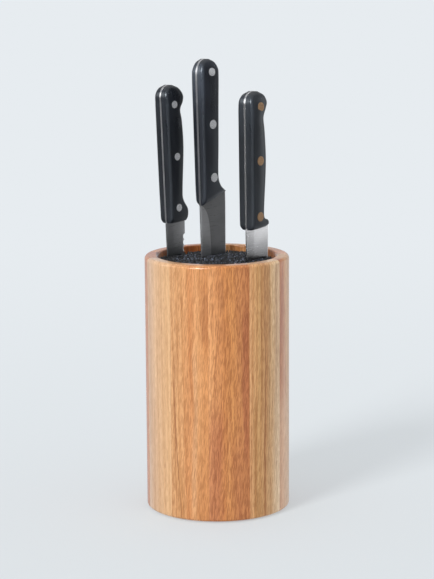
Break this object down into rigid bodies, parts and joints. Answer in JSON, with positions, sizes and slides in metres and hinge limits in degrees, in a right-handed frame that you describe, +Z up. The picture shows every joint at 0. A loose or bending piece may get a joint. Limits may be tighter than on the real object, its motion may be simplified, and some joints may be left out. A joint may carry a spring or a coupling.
{
  "type": "knife block with knives",
  "caption": "Round wooden knife block of glued staves with a lift-out bristle insert and three full-tang knives standing in it.",
  "frame": {"origin": "on the table, under the middle of the block", "axes": "+Z up along the block's axis and -Y towards the front, so the knives lean to -X and their spines face left and forward"},
  "size_m": [0.12, 0.12, 0.3738],
  "materials": {
    "stave_wood": "satin lacquered open-grain hardwood, long grain upright",
    "base_wood": "plain sanded hardwood, flat grain",
    "foot_rubber": "soft matte rubber",
    "cup_plastic": "moulded black plastic",
    "bristle_plastic": "bundle of thin round black plastic bristles with cut ends",
    "blade_steel": "fine ground stainless steel, lines across the blade",
    "handle_plastic": "satin black moulded plastic with polished edges",
    "rivet_metal": "ground flush, fine scratches",
    "brass": "ground flush, slightly dull"
  },
  "bodies": {
    "block": {"stave_01": "stave_wood", "stave_02": "stave_wood", "stave_03": "stave_wood", "stave_04": "stave_wood", "stave_05": "stave_wood", "stave_06": "stave_wood", "stave_07": "stave_wood", "stave_08": "stave_wood", "stave_09": "stave_wood", "stave_10": "stave_wood", "stave_11": "stave_wood", "base_disc": "base_wood", "feet": "foot_rubber"},
    "insert": {"insert_cup": "cup_plastic", "bristles": "bristle_plastic"},
    "serrated_knife": {"serrated_blade": "blade_steel", "serrated_scale_near": "handle_plastic", "serrated_scale_far": "handle_plastic", "serrated_rivet_tubes": "rivet_metal", "serrated_rivet_pins": "rivet_metal"},
    "cooks_knife": {"cooks_blade": "blade_steel", "cooks_scale_near": "handle_plastic", "cooks_scale_far": "handle_plastic", "cooks_rivet_tubes": "rivet_metal", "cooks_rivet_pins": "rivet_metal"},
    "utility_knife": {"utility_blade": "blade_steel", "utility_scale_near": "handle_plastic", "utility_scale_far": "handle_plastic", "utility_rivet_tubes": "brass", "utility_rivet_pins": "brass"}
  },
  "joints": [
    {"name": "insert_lift", "type": "slide", "parent": "block", "child": "insert", "axis": [0, 0, 1], "range_m": [0, 0.21]},
    {"name": "serrated_draw", "type": "slide", "parent": "insert", "child": "serrated_knife", "axis": [-0.0349, 0, 0.9994], "range_m": [0, 0.11]},
    {"name": "cooks_draw", "type": "slide", "parent": "insert", "child": "cooks_knife", "axis": [-0.0227, 0, 0.9997], "range_m": [0, 0.125]},
    {"name": "utility_draw", "type": "slide", "parent": "insert", "child": "utility_knife", "axis": [-0.0087, 0, 1], "range_m": [0, 0.125]}
  ]
}
